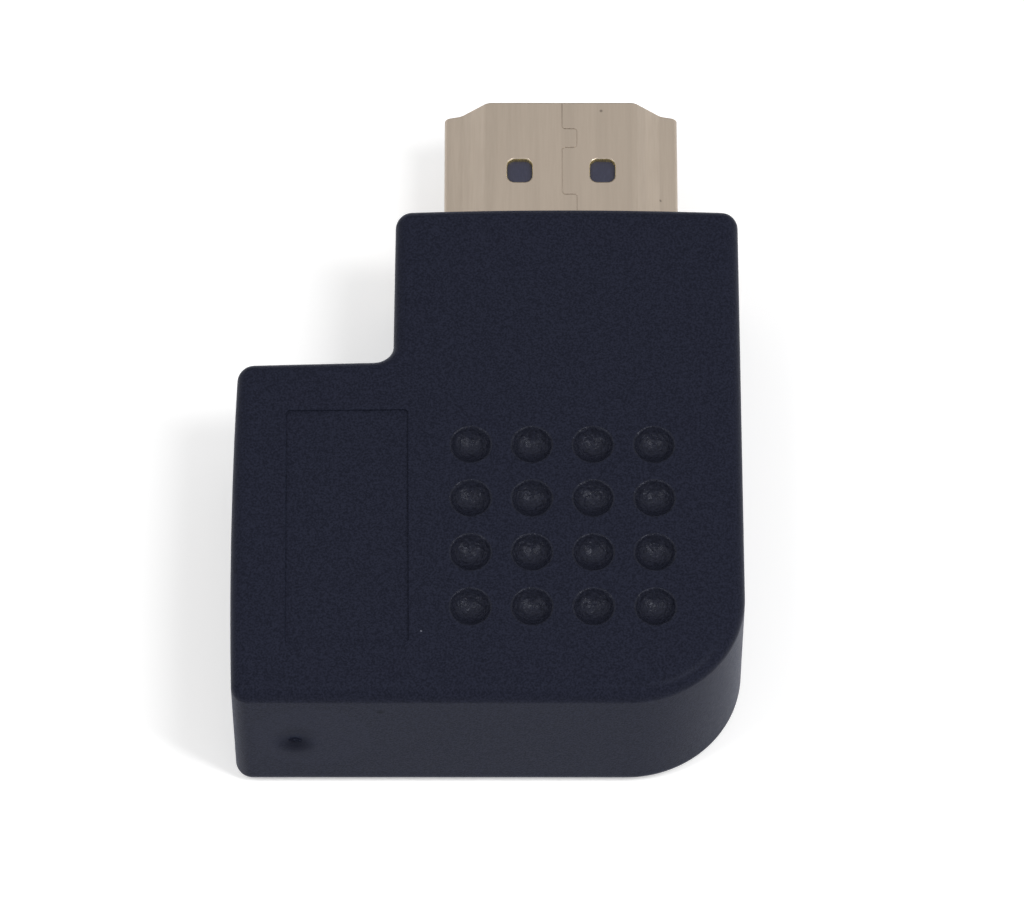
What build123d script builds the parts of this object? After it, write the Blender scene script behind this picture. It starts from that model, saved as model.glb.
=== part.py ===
from build123d import *
from math import radians, tan
import os

# Right-angle adapter: a D-shaped plug on one arm of a moulded L, its socket on the other arm.
# Millimetres. Z is up from the face it lies on, the plug points along +Y and the socket opens along -X.
# The origin is under the centre of the whole object's box.

# Moulded body, as seen from above
body_width = 29.45
body_depth = 32.44
body_thickness = 11.0
plug_arm_width = 20.24
socket_arm_width = 21.9
notch_rise = 0.25
arm_taper = 0.08
end_crown = 0.2
elbow_radius = 6.7
notch_radius = 1.15
edge_radius = 0.95
wall = 2.0

# How far the two connectors sit from the middles of their arms, away from the front right corner
plug_axis_offset = 0.3
socket_axis_offset = 0.07
tongue_drop = 0.3

# D-shaped plug section, narrow side up, and the sheet that both shells are folded from
plug_width = 13.9
plug_height = 4.45
narrow_width = 8.8
facet_drop = 1.585
shoulder_fall = 0.29
facet_radius = 0.6
waist_radius = 0.8
shoulder_radius = 0.7
sheet = 0.3
socket_clearance = 0.05

# Plug shell
plug_reach = 9.08
plug_hold = 5.5
tip_ease = 0.1
window_width = 1.48
window_length = 1.54
window_spacing = 4.92
window_radius = 0.38
window_from_tip = 4.75
seam_gap = 0.07
seam_offset = 0.1
seam_step = 0.88
seam_turns = (1.85, 3.15, 6.4)

# Contacts, the slot and tongue that carry them, and the board between
contact_count = 19
contact_step = 0.5
contact_width = 0.35
contact_thickness = 0.2
tail_length = 2.2
board_thickness = 1.1
board_gap = 0.25
board_margin = 0.8
board_clearance = 0.3
board_corner = 3.2
pocket_clearance = 0.1
slot_width = 10.6
slot_depth = 8.4
slot_setback = 0.4
slot_radius = 0.25
slot_side_clearance = 0.15
slot_face_clearance = 0.2
groove_clearance = 0.05
beam_lift = 0.1
beam_setback = 0.5
bump_reach = 0.2
bump_from_tip = 2.6
bump_run = 1.0

# Socket and its latch fingers
socket_setback = 0.15
socket_depth = 9.2
socket_block = 2.1
tongue_setback = 1.0
tongue_nose = 0.4
tongue_bare_end = 0.6
finger_width = 1.5
finger_length = 4.1
finger_root = 0.5
finger_nose = 0.8
finger_slit = 0.3
finger_dip = 0.4
finger_lift = 0.2
finger_bend = 0.6
finger_relief = 0.5

# Dimples, label field and gate mark
dimple_rows = 4
dimple_pitch = 3.52
dimple_diameter = 2.3
dimple_slope = 35.0
dimple_rim = 0.15
label_width = 7.07
label_length = 15.0
label_depth = 0.15
label_radius = 0.25
label_turn = 0.56
label_from_end = 6.66
label_from_front = 11.1
gate_from_end = 3.7
gate_drop = 0.24
gate_dish = 1.0
gate_depth = 0.12
gate_stub = 0.28
gate_stub_rise = 0.08

# Faces and axes of the body, worked out from the sizes above
right_x = body_width / 2
left_x = -body_width / 2
front_y = -(body_depth + plug_reach) / 2
end_y = front_y + body_depth
notch_x = right_x - plug_arm_width
notch_y = front_y + socket_arm_width
mid_z = body_thickness / 2
plug_x = right_x - plug_arm_width / 2 - plug_axis_offset
socket_y = front_y + socket_arm_width / 2 + socket_axis_offset

# Each connector is drawn as seen from in front of its mouth: x to the right, y up, z out of the body
plug_seat = Plane(origin=(plug_x, end_y, mid_z), x_dir=(-1, 0, 0), z_dir=(0, 1, 0))
socket_seat = Plane(origin=(left_x, socket_y, mid_z), x_dir=(0, -1, 0), z_dir=(-1, 0, 0))

# Stations along each connector's own z
plug_back = -plug_hold
plug_block_front = plug_reach - slot_setback
slot_floor = plug_block_front - slot_depth
window_station = plug_reach - window_from_tip
socket_front = -socket_setback
socket_floor = -socket_depth
socket_back = socket_floor - socket_block
tongue_front = socket_front - tongue_setback
bump_station = -window_station
finger_back = bump_station - finger_length
finger_tip = bump_station + finger_nose
side_view = Plane(origin=(0, 0, 0), x_dir=(0, 0, 1), z_dir=(-1, 0, 0))

# Heights above and below the plane that tongue, slot and board share
tongue_y = -tongue_drop
tail_level = (board_thickness + contact_thickness) / 2
tongue_thickness = board_thickness + 2 * contact_thickness
tongue_width = slot_width - 2 * slot_side_clearance
slot_height = tongue_thickness + 2 * slot_face_clearance
beam_level = slot_height / 2 + beam_lift + contact_thickness / 2
row_width = (contact_count - 1) * contact_step + contact_width


def body_plan():
    """The L seen from above: flat front, bowed connector ends, one wide elbow."""
    front_left = (left_x + end_crown, front_y)
    elbow = (right_x, front_y)
    end_right = (right_x - arm_taper, end_y - end_crown)
    end_left = (notch_x + arm_taper, end_y - end_crown)
    notch = (notch_x, notch_y + notch_rise)
    far_left = (left_x + end_crown, notch_y)
    plan = make_face(
        [
            Line(front_left, elbow),
            Line(elbow, end_right),
            ThreePointArc(end_right, (plug_x, end_y), end_left),
            Line(end_left, notch),
            Line(notch, far_left),
            ThreePointArc(far_left, (left_x, socket_y), front_left),
        ]
    )
    rounds = {elbow: elbow_radius, notch: notch_radius}
    for corner in (front_left, elbow, end_right, end_left, notch, far_left):
        sharp = plan.vertices().sort_by_distance(corner)[0]
        plan = fillet(sharp, rounds.get(corner, edge_radius))
    return plan


def d_section(grow=0.0):
    """Plug outline, narrow side up, offset outwards by grow."""
    side = plug_width / 2
    top = plug_height / 2
    waist_x = narrow_width / 2 + facet_drop
    waist_y = top - facet_drop
    right_half = [
        (narrow_width / 2, top, facet_radius),
        (waist_x, waist_y, waist_radius),
        (side, waist_y - shoulder_fall, shoulder_radius),
        (side, -top, shoulder_radius),
    ]
    left_half = [(-x, y, radius) for x, y, radius in reversed(right_half)]
    corners = right_half + left_half
    points = [(x, y) for x, y, radius in corners]
    radii = [radius for x, y, radius in corners]
    outline = make_face(FilletPolyline(*points, radius=radii, close=True))
    return offset(outline, amount=grow) if grow else outline


def prism(section, start, end):
    """A section carried along a connector's axis from one station to another."""
    return Pos(0, 0, start) * extrude(section, amount=end - start)


def block(width, height, centre_y, start, end):
    """A box across a connector between two stations."""
    return Pos(0, centre_y, (start + end) / 2) * Box(width, height, abs(end - start))


def contact_places():
    """Side of the tongue and place across it for each contact: odd ones on the wide side."""
    middle = (contact_count + 1) / 2
    for number in range(1, contact_count + 1):
        side = -1 if number % 2 else 1
        yield side, (number - middle) * contact_step


def strip(points, thickness, width, bend=0.0):
    """Metal strip: its middle line is (station, height) points in a side view, then it gets its width."""
    line = FilletPolyline(*points, radius=bend)
    return extrude(side_view * trace(line, line_width=thickness), amount=width / 2, both=True)


def mould_block():
    """Space inside the housing, one wall in from its faces."""
    return Pos(0, 0, wall) * extrude(offset(body_plan(), amount=-wall), amount=body_thickness - 2 * wall)


def dimple():
    """Conical grip dimple with an eased rim, to be cut down from z = 0."""
    outer = dimple_diameter / 2
    inner = outer - dimple_rim
    rim_depth = dimple_rim * tan(radians(dimple_slope / 2))
    depth = rim_depth + inner * tan(radians(dimple_slope))
    profile = make_face(Polyline((0, 0), (outer, 0), (inner, -rim_depth), (0, -depth), close=True))
    return revolve(Plane.XZ * profile, axis=Axis.Z)


def housing():
    """Outer moulding: rounded L with dimples, label field, gate mark and two connector mouths."""
    body = extrude(body_plan(), amount=body_thickness)
    by_height = body.faces().sort_by(Axis.Z)
    body = fillet(by_height[0].edges() + by_height[-1].edges(), edge_radius)

    crossing = Pos(plug_x, socket_y, body_thickness)
    grid = GridLocations(dimple_pitch, dimple_pitch, dimple_rows, dimple_rows)
    body -= [crossing * place * dimple() for place in grid]

    field = extrude(RectangleRounded(label_width, label_length, label_radius), amount=-label_depth)
    label_place = Pos(left_x + label_from_end, front_y + label_from_front, body_thickness)
    body -= label_place * Rot(0, 0, label_turn) * field

    dish_radius = (gate_dish**2 + gate_depth**2) / (2 * gate_depth)
    gate = Pos(left_x + gate_from_end, front_y, mid_z - gate_drop)
    body -= gate * Pos(0, gate_depth - dish_radius, 0) * Sphere(dish_radius)
    stub = Pos(0, 0, gate_stub_rise) * Cone(gate_stub, gate_stub / 2, 2 * gate_stub_rise)
    body += gate * Pos(0, gate_depth, 0) * Rot(90, 0, 0) * Pos(0, 0, -gate_stub_rise) * stub

    body -= mould_block()
    body -= plug_seat * prism(d_section(), plug_back, wall)
    body -= socket_seat * prism(d_section(socket_clearance + sheet), socket_back, wall)
    return body


def inner_mould():
    """First moulding: fills the housing round the board and the backs of both connectors."""
    body = mould_block()
    body -= plug_seat * prism(d_section(), plug_back, wall)
    body -= socket_seat * prism(d_section(socket_clearance + sheet), socket_back, wall)
    body -= circuit_board()
    body -= plug_seat * tail_pocket(plug_back)
    body -= socket_seat * tail_pocket(socket_back)
    for side, place in finger_places():
        shell_face = side * (plug_height / 2 + socket_clearance + sheet)
        body -= socket_seat * Pos(place, 0, 0) * block(
            finger_width + 2 * finger_slit,
            2 * finger_relief,
            shell_face,
            finger_back,
            finger_tip + finger_slit,
        )
    return body


def tail_pocket(back):
    """Room behind a connector for its two rows of tails."""
    height = 2 * (beam_level + contact_thickness / 2 + pocket_clearance)
    reach = back - tail_length - pocket_clearance
    return block(row_width + 2 * pocket_clearance, height, tongue_y, reach, back)


def circuit_board():
    """Board that both rows of tails straddle, with the corner under the elbow cut off.

    It stays clear of the housing's wall, also where that steps in at the notch.
    """
    left = left_x - socket_back + board_gap
    right = right_x - wall - board_margin
    front = front_y + wall + board_margin
    back = end_y + plug_back - board_gap
    outline = make_face(
        Polyline(
            (left, front),
            (right - board_corner, front),
            (right, front + board_corner),
            (right, back),
            (left, back),
            close=True,
        )
    )
    outline &= offset(body_plan(), amount=-(wall + board_clearance))
    level = mid_z + tongue_y
    return Pos(0, 0, level) * extrude(outline, amount=board_thickness / 2, both=True)


def plug_shell():
    """Folded sheet D with an eased mouth, four latch windows and the keyed seam of its folded strip."""
    tube = prism(d_section(), plug_back, plug_reach) - prism(d_section(-sheet), plug_back, plug_reach)
    mouth = tube.faces().sort_by(Axis.Z)[-1]
    tube = chamfer(mouth.outer_wire().edges(), tip_ease)
    window = RectangleRounded(window_width, window_length, window_radius)
    opening = extrude(Plane.XZ * window, amount=plug_height, both=True)
    for side in (-1, 1):
        tube -= Pos(side * window_spacing / 2, 0, window_station) * opening
    return tube - seam_cut()


def seam_cut():
    """Hairline gap through the narrow side that steps across and back like a jigsaw joint.

    Seen from in front of the mouth the seam lies left of the middle, so its places are negative.
    """
    near = -seam_offset
    far = near - seam_step
    points = [(near, plug_reach + sheet)]
    sides = [near, far] * len(seam_turns)
    for index, turn in enumerate(seam_turns):
        station = plug_reach - turn
        points += [(sides[index], station), (sides[index + 1], station)]
    points.append((points[-1][0], plug_back - sheet))
    line = Polyline(*points)
    seam_plane = Plane(origin=(0, plug_height / 2, 0), x_dir=(1, 0, 0), z_dir=(0, -1, 0))
    return extrude(seam_plane * trace(line, line_width=seam_gap), amount=sheet, both=True)


def plug_insulator():
    """Block inside the plug shell, with the slot for the tongue and a groove for each contact."""
    body = prism(d_section(-sheet), plug_back, plug_block_front)
    slot = Pos(0, tongue_y, 0) * prism(
        RectangleRounded(slot_width, slot_height, slot_radius), slot_floor, plug_block_front
    )
    body -= slot
    groove_top = beam_level + contact_thickness / 2 + groove_clearance
    groove_front = plug_block_front - beam_setback / 2
    groove_width = contact_width + 2 * groove_clearance
    cuts = []
    for side, place in contact_places():
        groove_y = tongue_y + side * groove_top / 2
        passage_y = tongue_y + side * beam_level
        groove = block(groove_width, groove_top, groove_y, slot_floor, groove_front)
        passage = block(contact_width, contact_thickness, passage_y, plug_back, slot_floor)
        cuts += [Pos(place, 0, 0) * groove, Pos(place, 0, 0) * passage]
    return body - cuts


def plug_contact(side, place):
    """Spring contact: bowed end in the slot, straight through the block, cranked down to the board."""
    bump = plug_block_front - bump_from_tip
    bump_level = slot_height / 2 - bump_reach + contact_thickness / 2
    crank = beam_level - tail_level
    line = [
        (plug_block_front - beam_setback, beam_level),
        (bump + bump_run, beam_level),
        (bump, bump_level),
        (bump - bump_run, beam_level),
        (plug_back - board_gap / 2, beam_level),
        (plug_back - board_gap / 2 - crank, tail_level),
        (plug_back - tail_length, tail_level),
    ]
    points = [(station, side * level) for station, level in line]
    return Pos(place, tongue_y, 0) * strip(points, contact_thickness, contact_width)


def finger_places():
    """Side of the D and place across it of each latch finger of the socket."""
    return [(side, across * window_spacing / 2) for side in (-1, 1) for across in (-1, 1)]


def socket_shell():
    """Folded sheet D round the socket, with four latch fingers cut from it and bent inwards."""
    outside = prism(d_section(socket_clearance + sheet), socket_back, socket_front)
    tube = outside - prism(d_section(socket_clearance), socket_back, socket_front)
    level = plug_height / 2 + socket_clearance + sheet / 2
    dipped = level - finger_dip
    line = [
        (finger_back, level),
        (finger_back + finger_root, level),
        (bump_station, dipped),
        (finger_tip, dipped + finger_lift),
    ]
    for side, place in finger_places():
        slit_width = finger_width + 2 * finger_slit
        slit = block(slit_width, 2 * sheet, side * level, finger_back, finger_tip + finger_slit)
        points = [(station, side * height) for station, height in line]
        finger = strip(points, sheet, finger_width, finger_bend)
        tube -= Pos(place, 0, 0) * slit
        tube += Pos(place, 0, 0) * finger
    return tube


def socket_insulator():
    """Block that closes the back of the socket shell and carries the tongue."""
    body = prism(d_section(socket_clearance), socket_back, socket_floor)
    tongue = block(tongue_width, tongue_thickness, tongue_y, socket_floor, tongue_front)
    nose = tongue.faces().sort_by(Axis.Z)[-1].edges().filter_by(Axis.X)
    body += chamfer(nose, tongue_nose)
    return body - [socket_contact(side, place) for side, place in contact_places()]


def socket_contact(side, place):
    """Flat contact let into a face of the tongue, straight back on to the board."""
    tail = socket_back - tail_length
    tip = tongue_front - tongue_bare_end
    return Pos(place, 0, 0) * block(
        contact_width, contact_thickness, tongue_y + side * tail_level, tail, tip
    )


def pieces():
    """Every separate piece by its name."""
    solids = {
        "housing": housing(),
        "inner_mould": inner_mould(),
        "circuit_board": circuit_board(),
        "plug_shell": plug_seat * plug_shell(),
        "plug_insulator": plug_seat * plug_insulator(),
        "socket_shell": socket_seat * socket_shell(),
        "socket_insulator": socket_seat * socket_insulator(),
    }
    for number, (side, place) in enumerate(contact_places(), start=1):
        solids[f"plug_contact_{number:02d}"] = plug_seat * plug_contact(side, place)
        solids[f"socket_contact_{number:02d}"] = socket_seat * socket_contact(side, place)
    return solids


os.makedirs("parts", exist_ok=True)
for name, solid in pieces().items():
    solid.label = name
    export_step(solid, f"parts/{name}.step")
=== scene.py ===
"""Looks of a right-angle adapter, a plug on one arm of a moulded L and its socket on the other.

Everything is in metres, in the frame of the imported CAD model: Z is up from the face it lies on,
the plug points along +Y and the socket opens along -X.
"""

import math

import bmesh
import bpy
from mathutils import Matrix, Vector


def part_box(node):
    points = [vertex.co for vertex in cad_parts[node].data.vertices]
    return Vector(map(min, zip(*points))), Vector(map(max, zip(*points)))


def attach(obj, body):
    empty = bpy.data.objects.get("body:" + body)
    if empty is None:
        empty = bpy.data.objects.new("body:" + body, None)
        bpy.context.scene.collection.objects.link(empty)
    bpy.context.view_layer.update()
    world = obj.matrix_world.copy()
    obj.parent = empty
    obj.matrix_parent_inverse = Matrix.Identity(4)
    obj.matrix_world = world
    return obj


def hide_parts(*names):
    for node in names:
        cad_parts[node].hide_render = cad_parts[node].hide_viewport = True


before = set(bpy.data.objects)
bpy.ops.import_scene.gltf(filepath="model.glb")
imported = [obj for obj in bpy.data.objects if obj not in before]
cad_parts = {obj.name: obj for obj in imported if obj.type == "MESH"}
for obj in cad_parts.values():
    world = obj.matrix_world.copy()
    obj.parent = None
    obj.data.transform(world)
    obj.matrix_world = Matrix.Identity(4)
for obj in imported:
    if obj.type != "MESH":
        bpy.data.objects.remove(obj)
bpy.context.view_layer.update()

bl_info = {
    "name": "Right-angle adapter",
    "version": (1, 0, 0),
    "blender": (4, 5, 0),
    "location": "View3D > Sidebar > Adapter",
    "description": "Builds the moulded body, the two folded shells and the finishes of the adapter",
    "category": "Object",
}

MM = 0.001
BODY = "root"

# Places taken from the frame
body_low, body_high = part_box("housing")
plug_low, plug_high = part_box("plug_shell")
socket_low, socket_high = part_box("socket_shell")
plug_axis = (plug_low + plug_high) / 2
socket_axis = (socket_low + socket_high) / 2

# Each shell is drawn as seen from in front of its mouth: x to the right, y up, z out of the body
plug_seat = Matrix.Translation((plug_axis.x, body_high.y, plug_axis.z)) @ Matrix(
    ((-1, 0, 0, 0), (0, 0, 1, 0), (0, 1, 0, 0), (0, 0, 0, 1))
)
socket_seat = Matrix.Translation((body_low.x, socket_axis.y, socket_axis.z)) @ Matrix(
    ((0, 0, -1, 0), (-1, 0, 0, 0), (0, 1, 0, 0), (0, 0, 0, 1))
)
plug_top = (plug_high.z - plug_low.z) / 2
plug_tip = plug_high.y - body_high.y
plug_back = plug_low.y - body_high.y
socket_front = body_low.x - socket_low.x
socket_back = body_low.x - socket_high.x


def number(name, description, value, **kind):
    """A number that a user can change, with its limits, unit or subtype."""
    return bpy.props.FloatProperty(name=name, description=description, default=value, **kind)


def size(name, description, millimetres):
    """A length that a user can change, given here in millimetres."""
    return number(name, description, millimetres * MM, unit="LENGTH", subtype="DISTANCE", precision=5)


def angle(name, description, degrees):
    """An angle that a user can change, given here in degrees."""
    return number(name, description, math.radians(degrees), unit="ROTATION", subtype="ANGLE")


def share(name, description, value):
    """A share from 0 to 1 that a user can change."""
    return number(name, description, value, min=0.0, max=1.0, subtype="FACTOR")


def position(name, description, metres):
    """A place that a user can change."""
    return bpy.props.FloatVectorProperty(
        name=name, description=description, default=metres, subtype="XYZ", unit="LENGTH"
    )


def linear(hex_colour):
    """An sRGB hex colour as the linear one that shaders take."""
    channels = [int(hex_colour[i : i + 2], 16) / 255 for i in (1, 3, 5)]
    return [c / 12.92 if c <= 0.04045 else ((c + 0.055) / 1.055) ** 2.4 for c in channels]


def colour(name, description, hex_colour):
    """A colour that a user can change, given here in sRGB hex."""
    return bpy.props.FloatVectorProperty(
        name=name, description=description, default=linear(hex_colour), subtype="COLOR", min=0.0, max=1.0
    )


class AdapterBodySizes(bpy.types.PropertyGroup):
    """Sizes of the moulded body."""

    width: size("Width", "Across both arms", 29.45)
    plug_arm: size("Plug arm", "Width of the arm that carries the plug", 20.24)
    socket_arm: size("Socket arm", "Width of the arm that carries the socket", 21.9)
    notch_rise: size("Notch rise", "Fall of the socket arm's far side towards its end", 0.25)
    taper: size("Taper", "Draw-in of each side of the plug arm at its end", 0.08)
    crown: size("Crown", "Bow of the two arm ends", 0.2)
    elbow: size("Elbow", "Radius of the outer corner", 6.7)
    notch: size("Notch", "Radius of the inner corner", 1.15)
    edge: size("Edge", "Radius of all other outer edges and corners", 0.95)
    wall: size("Wall", "Thickness of the outer moulding", 2.0)
    mouth_gap: size("Mouth gap", "Hairline round each shell where it leaves the moulding", 0.03)
    dimple: size("Dimple", "Diameter of a grip dimple over its rounded lip", 2.56)
    dimple_lip: size("Dimple lip", "Radius of the rounded lip of a dimple", 0.2)
    dimple_wall: angle("Dimple wall", "Slope of the bowl where it meets the lip", 55.0)
    dimple_point: angle("Dimple point", "Slope of the cone at the bottom of a dimple", 24.0)
    dimple_cone: size("Dimple cone", "Radius of the cone at the bottom of a dimple", 0.45)
    dimple_pitch: size("Dimple pitch", "Spacing of the dimples both ways", 3.52)
    dimple_rows: bpy.props.IntProperty(
        name="Dimple rows", description="Dimples along each side of their square", default=4, min=1
    )
    label_width: size("Label width", "Width of the sunk label field", 7.07)
    label_length: size("Label length", "Length of the sunk label field", 15.2)
    label_depth: size("Label depth", "Depth of the sunk label field", 0.15)
    label_radius: size("Label radius", "Corner radius of the label field", 0.25)
    label_ease: size("Label ease", "Bevel between the floor and the sides of the label field", 0.05)
    label_turn: angle("Label turn", "How far the mould has the label field out of square", 0.56)
    label_from_end: size("Label from end", "Socket end to the middle of the label field", 6.66)
    label_from_front: size("Label from front", "Front to the middle of the label field", 11.0)
    gate_from_end: size("Gate from end", "Socket end to the gate mark", 3.7)
    gate_drop: size("Gate drop", "Gate mark below the mid plane", 0.24)
    gate: size("Gate", "Diameter of the dished gate mark over its lip", 2.7)
    gate_lip: size("Gate lip", "Radius of the soft lip of the gate mark", 4.2)
    gate_wall: angle("Gate wall", "Slope of the dish where it meets the lip", 12.0)
    stub_foot: size("Stub foot", "Radius of the torn sprue at its foot", 0.32)
    stub_top: size("Stub top", "Radius of the torn sprue at its top", 0.24)
    stub_height: size("Stub height", "Height of the torn sprue", 0.12)
    stub_depth: size("Stub depth", "Middle of the torn sprue's height below the front", 0.13)
    stub_tear: size("Stub tear", "How far the tear scatters the sprue's points", 0.06)


class AdapterShellSizes(bpy.types.PropertyGroup):
    """Sizes of the folded shells of plug and socket."""

    narrow: size("Narrow side", "Width of the flat on the narrow side", 8.8)
    facet: size("Facet", "Drop of the slanted side below the narrow flat", 1.585)
    shoulder: size("Shoulder fall", "Fall of the shoulder out to the side", 0.29)
    facet_radius: size("Facet radius", "Radius of the bend at the narrow flat", 0.6)
    waist_radius: size("Waist radius", "Radius of the inward bend", 0.8)
    shoulder_radius: size("Shoulder radius", "Radius of the four side bends", 0.4)
    sheet: size("Sheet", "Thickness of the sheet that the shells are folded from", 0.3)
    plug_ease: size("Plug ease", "Bevel on the rim of the plug's mouth", 0.1)
    socket_ease: size("Socket ease", "Bevel on the rim of the socket's mouth", 0.06)
    clearance: size("Clearance", "Room round the plug in the socket", 0.05)
    window_width: size("Window width", "Width of a latch window", 1.48)
    window_length: size("Window length", "Length of a latch window", 1.54)
    window_radius: size("Window radius", "Corner radius of a latch window", 0.45)
    window_lip: size("Window lip", "Radius of the rolled-over edge of a latch window", 0.11)
    window_spacing: size("Window spacing", "Between the middles of two windows", 4.92)
    window_from_tip: size("Window from tip", "Tip to the middle of the windows", 4.75)
    seam_gap: size("Seam gap", "Width of the hairline seam", 0.035)
    seam_depth: size("Seam depth", "Depth of the seam down to where the folded ends touch", 0.038)
    seam_lip: size("Seam lip", "Radius of the eased lips of the seam", 0.034)
    seam_bend: size("Seam bend", "Radius of the corners of the seam", 0.2)
    seam_offset: size("Seam offset", "Seam beside the middle line", 0.06)
    seam_step: size("Seam step", "How far the seam jumps across", 0.88)
    seam_turns: bpy.props.FloatVectorProperty(
        name="Seam turns",
        description="Tip to each of the seam's three jumps",
        default=(1.85 * MM, 3.15 * MM, 6.4 * MM),
        unit="LENGTH",
        precision=5,
    )
    finger_width: size("Finger width", "Width of a latch finger", 1.5)
    finger_length: size("Finger length", "Root to bend of a latch finger", 4.1)
    finger_root: size("Finger root", "Straight stretch of a latch finger at its root", 0.5)
    finger_dip: size("Finger dip", "How far a finger reaches inwards", 0.4)
    finger_nose: size("Finger nose", "Length of a finger's nose beyond its bend", 0.8)
    finger_lift: size("Finger lift", "How far the nose lifts again", 0.2)
    finger_bend: size("Finger bend", "Radius of a finger's bends along its middle", 0.6)
    finger_slit: size("Finger slit", "Room round a finger in the sheet", 0.3)


class AdapterFinishes(bpy.types.PropertyGroup):
    """Colours of the materials."""

    pvc: colour("Black PVC", "Soft PVC of the outer moulding", "#21232F")
    gold: colour("Gold plate", "Thin pale gold over nickel on the shells", "#B0A395")
    # Cut edge: the bare sheared metal, lightened into a painted highlight for the glint on the window lips
    cut_edge: colour("Cut edge", "Sheared edges of the sheet", "#FBE9AE")
    contact_gold: colour("Contact gold", "Harder, yellower gold of the contacts", "#E3B867")
    nylon: colour("Black nylon", "Glass-filled nylon of the two blocks", "#373849")
    polyethylene: colour("Polyethylene", "Milky first moulding", "#DAD9CF")
    board: colour("Board", "Green lacquer over glass fibre", "#1F5B38")
    dust: colour("Dust", "Specks of dust on the outer moulding", "#6E707C")


class AdapterStage(bpy.types.PropertyGroup):
    """Floor, light and camera."""

    camera_place: position("Camera place", "Where the camera stands", (0.001475, -0.21227, 0.38347))
    camera_aim: position("Camera aim", "Point that the camera looks at", (0.001395, -0.00476, 0.011))
    lens: number("Lens", "Focal length in millimetres on a 36 mm sensor", 260.14)
    floor: colour("Floor", "Pale floor under the object", "#F4F4F4")
    sky: share("Sky", "Strength of the even light from all round", 0.42)
    lift: share("Lift", "Glow that keeps the floor white where it is seen", 0.35)
    lamp_place: position("Lamp place", "Right lamp; the left one mirrors it", (0.2385, -0.1265, 0.421))
    lamp_width: size("Lamp width", "Width of each lamp", 90.0)
    lamp_height: size("Lamp height", "Height of each lamp", 280.0)
    right_power: number("Right power", "Power of the right lamp", 1.2, unit="POWER")
    left_power: number("Left power", "Power of the left lamp", 0.65, unit="POWER")


# Modelling, as by hand


def select_only(piece):
    """Leaves object mode with one piece selected and active."""
    bpy.ops.object.select_all(action="DESELECT")
    bpy.context.view_layer.objects.active = piece
    piece.select_set(True)


def enter_edit(piece):
    """Edit mode on one piece."""
    select_only(piece)
    bpy.ops.object.mode_set(mode="EDIT")


def leave_edit():
    """Back to object mode."""
    bpy.ops.object.mode_set(mode="OBJECT")


def add(primitive, name, **settings):
    """Adds a primitive at its size and place, and leaves it in edit mode, selected all over."""
    bpy.ops.object.select_all(action="DESELECT")
    primitive(**settings)
    piece = bpy.context.object
    piece.name = piece.data.name = name
    bpy.ops.object.transform_apply(location=True, rotation=True, scale=True)
    bpy.ops.object.mode_set(mode="EDIT")
    bpy.ops.mesh.select_mode(type="VERT")
    return piece


def add_block(name, lengths, middle):
    """A block of three lengths about its middle, in edit mode."""
    return add(bpy.ops.mesh.primitive_cube_add, name, size=1, scale=lengths, location=middle)


def with_all(operator, **settings):
    """Runs an operator, in edit mode, on the whole mesh."""
    bpy.ops.mesh.select_all(action="SELECT")
    operator(**settings)


def choose(kind, test):
    """Selects, in edit mode, the verts, edges or faces that pass a test."""
    bpy.ops.mesh.select_mode(type={"verts": "VERT", "edges": "EDGE", "faces": "FACE"}[kind])
    bpy.ops.mesh.select_all(action="DESELECT")
    shown = bpy.context.edit_object.data
    drawn = bmesh.from_edit_mesh(shown)
    drawn.normal_update()
    chosen = [part for part in getattr(drawn, kind) if test(part)]
    if not chosen:
        raise RuntimeError(f"nothing to select on {bpy.context.edit_object.name}")
    for part in chosen:
        part.select_set(True)
    bmesh.update_edit_mesh(shown)


def bevel_edges(test, offset, segments):
    """Rounds, in edit mode, the edges that pass a test."""
    choose("edges", test)
    bpy.ops.mesh.bevel(affect="EDGES", offset=offset, segments=segments, clamp_overlap=False)


def close(a, b, tolerance=0.01 * MM):
    """Whether two lengths are the same, to a hundredth of a millimetre unless said otherwise."""
    return abs(a - b) < tolerance


def draw_point(name, place):
    """Starts a piece from one vertex, in edit mode."""
    piece = add(bpy.ops.mesh.primitive_plane_add, name, size=MM, location=place)
    bpy.ops.mesh.merge(type="CENTER")
    return piece


def draw_line(step):
    """Extrudes the selected vertex into a straight edge."""
    bpy.ops.mesh.extrude_vertices_move(TRANSFORM_OT_translate={"value": step})


def draw_arc(centre, axis, turn, steps):
    """Spins the selection about an axis by the right-hand rule, which the operator turns against."""
    bpy.ops.mesh.spin(steps=steps, angle=turn, center=centre, axis=-Vector(axis))


def draw_bow(start, end, crown):
    """Draws most of a shallow arc from start towards end, and returns where it stops."""
    drawn_part = 0.84
    steps = 24
    half = (end - start) / 2
    outward = Vector((half.y, -half.x, 0)).normalized()
    radius = (half.length**2 + crown**2) / (2 * crown)
    middle = start + half
    centre = middle - outward * (radius - crown)
    turn = math.asin(half.length / radius) * drawn_part
    first = centre + Matrix.Rotation(-turn, 3, "Z") @ outward * radius
    last = centre + Matrix.Rotation(turn, 3, "Z") @ outward * radius
    draw_line(first - start)
    draw_arc(centre, (0, 0, 1), 2 * turn, steps)
    return last


def draw_outline(name, points, crowns=()):
    """Draws a closed outline through the points, anticlockwise, as one flat face.

    Crowns holds a point's number and a height: the stretch from that point is bowed outwards by
    as much, as a straight lead, an arc and a straight lead again.
    """
    here = Vector((*points[0], 0))
    piece = draw_point(name, here)
    crown_of = dict(crowns)
    for index, point in enumerate(points):
        there = Vector((*points[(index + 1) % len(points)], 0))
        if index in crown_of:
            here = draw_bow(here, there, crown_of[index])
        draw_line(there - here)
        here = there
    with_all(bpy.ops.mesh.remove_doubles, threshold=0.002 * MM)
    bpy.ops.mesh.edge_face_add()
    return piece


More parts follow.
